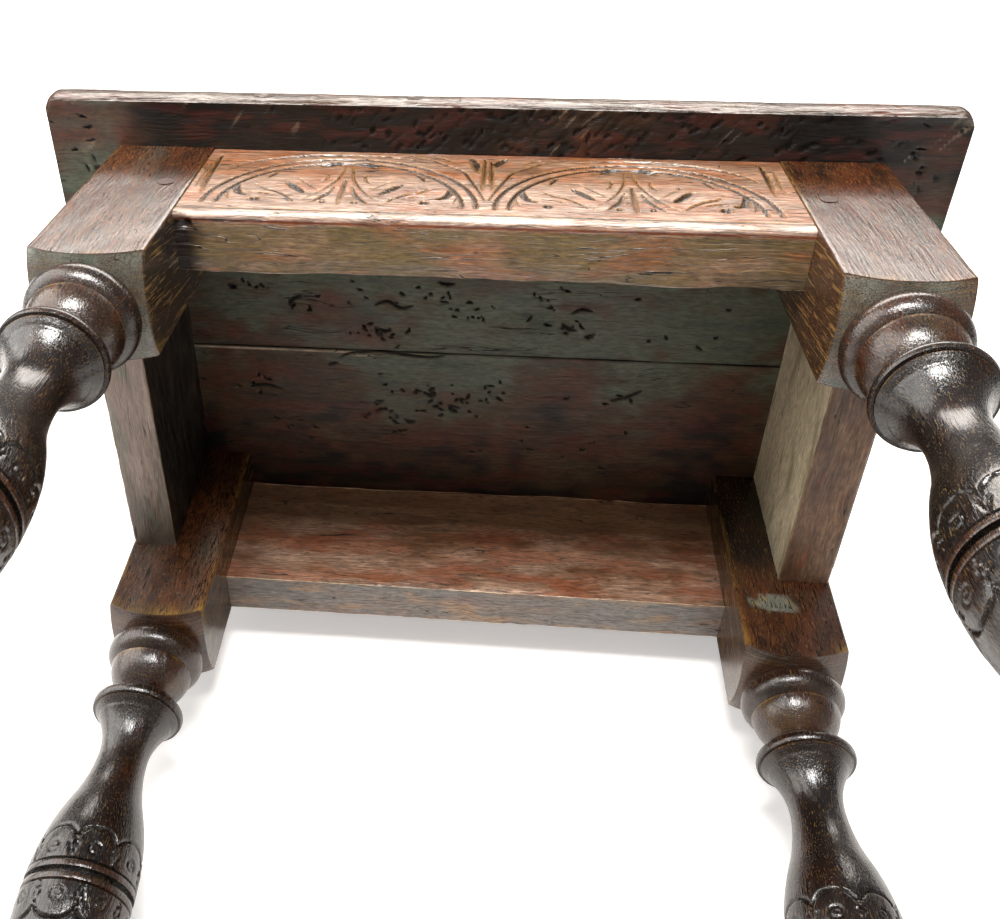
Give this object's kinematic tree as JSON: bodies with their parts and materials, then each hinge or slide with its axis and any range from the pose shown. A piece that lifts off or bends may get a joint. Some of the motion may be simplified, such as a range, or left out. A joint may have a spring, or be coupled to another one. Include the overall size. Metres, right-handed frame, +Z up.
{
  "type": "joint stool",
  "caption": "Low oak seat on raked turned legs, with carved front rail, box stretcher and pegged mortise and tenon joints under a boarded top",
  "frame": {"origin": "on the floor, under the middle of the top", "axes": "+Z up, -Y the carved front, X along the length of the top"},
  "size_m": [0.46, 0.3006, 0.559],
  "materials": {
    "top_oak": "dark stained and waxed oak, bare and weathered underneath",
    "turned_oak": "near-black waxed oak, worn brown on the high turnings",
    "rail_oak": "dark red-brown oak, waxed outside, dry tool-marked wood inside",
    "peg_oak": "dark riven oak, end grain at the head"
  },
  "bodies": {
    "root": {"top_front_board": "top_oak", "top_back_board": "top_oak", "leg_front_left": "turned_oak", "leg_front_right": "turned_oak", "leg_back_left": "turned_oak", "leg_back_right": "turned_oak", "front_rail": "rail_oak", "back_rail": "rail_oak", "left_side_rail": "rail_oak", "right_side_rail": "rail_oak", "front_stretcher": "turned_oak", "back_stretcher": "turned_oak", "left_side_stretcher": "turned_oak", "right_side_stretcher": "turned_oak", "front_rail_pegs": "peg_oak", "back_rail_pegs": "peg_oak", "left_side_rail_pegs": "peg_oak", "right_side_rail_pegs": "peg_oak", "front_stretcher_pegs": "peg_oak", "back_stretcher_pegs": "peg_oak", "left_side_stretcher_pegs": "peg_oak", "right_side_stretcher_pegs": "peg_oak", "top_pegs": "peg_oak"}
  },
  "joints": []
}
